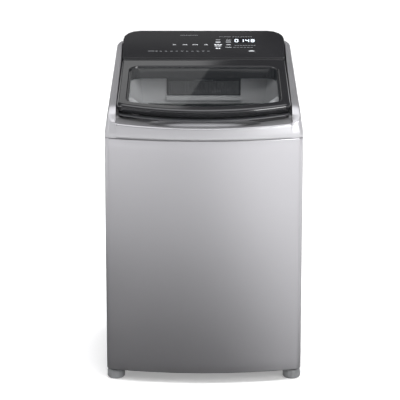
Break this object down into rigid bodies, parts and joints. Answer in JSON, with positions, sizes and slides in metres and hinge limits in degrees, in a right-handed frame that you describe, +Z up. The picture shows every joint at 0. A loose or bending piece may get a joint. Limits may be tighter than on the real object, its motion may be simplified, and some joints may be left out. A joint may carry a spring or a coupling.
{
  "type": "top load washing machine",
  "caption": "Silver top load washing machine with a bowed front, a black glass lid, a sloped control panel, a hung tub, basket, agitator and levelling feet.",
  "frame": {"origin": "on the floor, below the middle of the overall width and depth", "axes": "+Z up, +X to the machine's left-to-right as seen from the front, the front faces -Y"},
  "size_m": [0.66, 0.72, 1.0779],
  "materials": {
    "silver_paint": "metallic silver paint, satin",
    "silver_plastic": "metallic silver moulding, satin",
    "console_plastic": "fine matte texture",
    "black_gloss": "polished black",
    "smoked_glass": "clear, lightly smoked",
    "display_lens": "dark polished lens",
    "grey_plastic": "satin",
    "dark_plastic": "fine matte texture",
    "white_plastic": "satin",
    "galvanised_steel": "zinc coated, dull",
    "spring_steel": "dull",
    "stainless_steel": "bright, perforated",
    "cast_aluminium": "as cast",
    "black_rubber": "dull",
    "foot_plastic": "mid grey, moulded",
    "circuit_board": "solder mask"
  },
  "bodies": {
    "cabinet": {"cabinet_shell": "silver_paint", "rear_panel": "galvanised_steel", "base_frame": "dark_plastic", "top_frame": "galvanised_steel", "top_cover": "silver_plastic", "well_skirt": "grey_plastic", "dispenser_housing": "grey_plastic", "lid_hinge_left": "dark_plastic", "lid_hinge_right": "dark_plastic", "lid_lock": "dark_plastic", "console_housing": "console_plastic", "control_panel": "black_gloss", "display_window": "display_lens", "control_board": "circuit_board", "inlet_valve": "white_plastic", "cord_gland": "black_rubber", "drain_elbow": "dark_plastic", "pressure_sensor": "white_plastic", "suspension_rod_front_left": "galvanised_steel", "suspension_rod_front_right": "galvanised_steel", "suspension_rod_rear_left": "galvanised_steel", "suspension_rod_rear_right": "galvanised_steel", "suspension_spring_front_left": "spring_steel", "suspension_spring_front_right": "spring_steel", "suspension_spring_rear_left": "spring_steel", "suspension_spring_rear_right": "spring_steel"},
    "lid": {"lid_frame": "black_gloss", "lid_glass": "smoked_glass", "lid_trim": "dark_plastic"},
    "drawer": {"dispenser_drawer": "dark_plastic"},
    "tub": {"outer_tub": "white_plastic", "tub_ring": "white_plastic", "gearcase": "cast_aluminium", "drive_motor": "galvanised_steel", "drain_pump": "white_plastic", "drive_belt": "black_rubber"},
    "basket": {"basket_wall": "stainless_steel", "basket_base": "white_plastic", "balance_ring": "grey_plastic", "spin_tube": "galvanised_steel"},
    "agitator": {"agitator": "white_plastic", "agitator_cap": "grey_plastic", "drive_shaft": "galvanised_steel", "drive_pulley": "cast_aluminium"},
    "motor_rotor": {"motor_pulley": "cast_aluminium"},
    "levelling_foot_front_left": {"foot_front_left": "foot_plastic"},
    "levelling_foot_front_right": {"foot_front_right": "foot_plastic"},
    "levelling_foot_rear_left": {"foot_rear_left": "foot_plastic"},
    "levelling_foot_rear_right": {"foot_rear_right": "foot_plastic"},
    "option_button_1": {"option_button_1": "black_gloss"},
    "option_button_2": {"option_button_2": "black_gloss"},
    "option_button_3": {"option_button_3": "black_gloss"},
    "option_button_4": {"option_button_4": "black_gloss"},
    "program_button": {"program_button": "black_gloss"},
    "start_button": {"start_button": "black_gloss"},
    "water_level_button": {"water_level_button": "black_gloss"},
    "power_button": {"power_button": "black_gloss"}
  },
  "joints": [
    {"name": "lid_swing", "type": "hinge", "parent": "cabinet", "child": "lid", "pos_m": [0, 0.135, 1.01], "axis": [-1, 0, 0], "range_deg": [0, 95]},
    {"name": "drawer_slide", "type": "slide", "parent": "cabinet", "child": "drawer", "axis": [0, -1, 0], "range_m": [0, 0.09]},
    {"name": "tub_bounce", "type": "slide", "parent": "cabinet", "child": "tub", "axis": [0, 0, 1], "range_m": [-0.012, 0.012], "stiffness_N_per_m": 9000, "springref_m": 0.0436, "deforming": ["suspension_spring_front_left", "suspension_spring_front_right", "suspension_spring_rear_left", "suspension_spring_rear_right"]},
    {"name": "basket_spin", "type": "hinge", "parent": "tub", "child": "basket", "pos_m": [0, -0.008, 0.5], "axis": [0, 0, 1], "continuous": true},
    {"name": "agitator_turn", "type": "hinge", "parent": "tub", "child": "agitator", "pos_m": [0, -0.008, 0.3], "axis": [0, 0, 1], "continuous": true},
    {"name": "motor_spin", "type": "hinge", "parent": "tub", "child": "motor_rotor", "pos_m": [0.165, -0.008, 0.1], "axis": [0, 0, 1], "continuous": true},
    {"name": "foot_screw_front_left", "type": "slide", "parent": "cabinet", "child": "levelling_foot_front_left", "axis": [0, 0, -1], "range_m": [0, 0.012]},
    {"name": "foot_screw_front_right", "type": "slide", "parent": "cabinet", "child": "levelling_foot_front_right", "axis": [0, 0, -1], "range_m": [0, 0.012]},
    {"name": "foot_screw_rear_left", "type": "slide", "parent": "cabinet", "child": "levelling_foot_rear_left", "axis": [0, 0, -1], "range_m": [0, 0.012]},
    {"name": "foot_screw_rear_right", "type": "slide", "parent": "cabinet", "child": "levelling_foot_rear_right", "axis": [0, 0, -1], "range_m": [0, 0.012]},
    {"name": "option_button_1_press", "type": "slide", "parent": "cabinet", "child": "option_button_1", "axis": [0, 0.2869, -0.958], "range_m": [0, 0.0015], "stiffness_N_per_m": 400, "springref_m": -0.001},
    {"name": "option_button_2_press", "type": "slide", "parent": "cabinet", "child": "option_button_2", "axis": [0, 0.2869, -0.958], "range_m": [0, 0.0015], "stiffness_N_per_m": 400, "springref_m": -0.001},
    {"name": "option_button_3_press", "type": "slide", "parent": "cabinet", "child": "option_button_3", "axis": [0, 0.2869, -0.958], "range_m": [0, 0.0015], "stiffness_N_per_m": 400, "springref_m": -0.001},
    {"name": "option_button_4_press", "type": "slide", "parent": "cabinet", "child": "option_button_4", "axis": [0, 0.2869, -0.958], "range_m": [0, 0.0015], "stiffness_N_per_m": 400, "springref_m": -0.001},
    {"name": "program_button_press", "type": "slide", "parent": "cabinet", "child": "program_button", "axis": [0, 0.2869, -0.958], "range_m": [0, 0.0015], "stiffness_N_per_m": 400, "springref_m": -0.001},
    {"name": "start_button_press", "type": "slide", "parent": "cabinet", "child": "start_button", "axis": [0, 0.2869, -0.958], "range_m": [0, 0.0015], "stiffness_N_per_m": 400, "springref_m": -0.001},
    {"name": "water_level_button_press", "type": "slide", "parent": "cabinet", "child": "water_level_button", "axis": [0, 0.2869, -0.958], "range_m": [0, 0.0015], "stiffness_N_per_m": 400, "springref_m": -0.001},
    {"name": "power_button_press", "type": "slide", "parent": "cabinet", "child": "power_button", "axis": [0, 0.2869, -0.958], "range_m": [0, 0.0015], "stiffness_N_per_m": 400, "springref_m": -0.001}
  ],
  "couplings": [
    {"joint": "motor_spin", "follows": "agitator_turn", "ratio": 3.125}
  ]
}
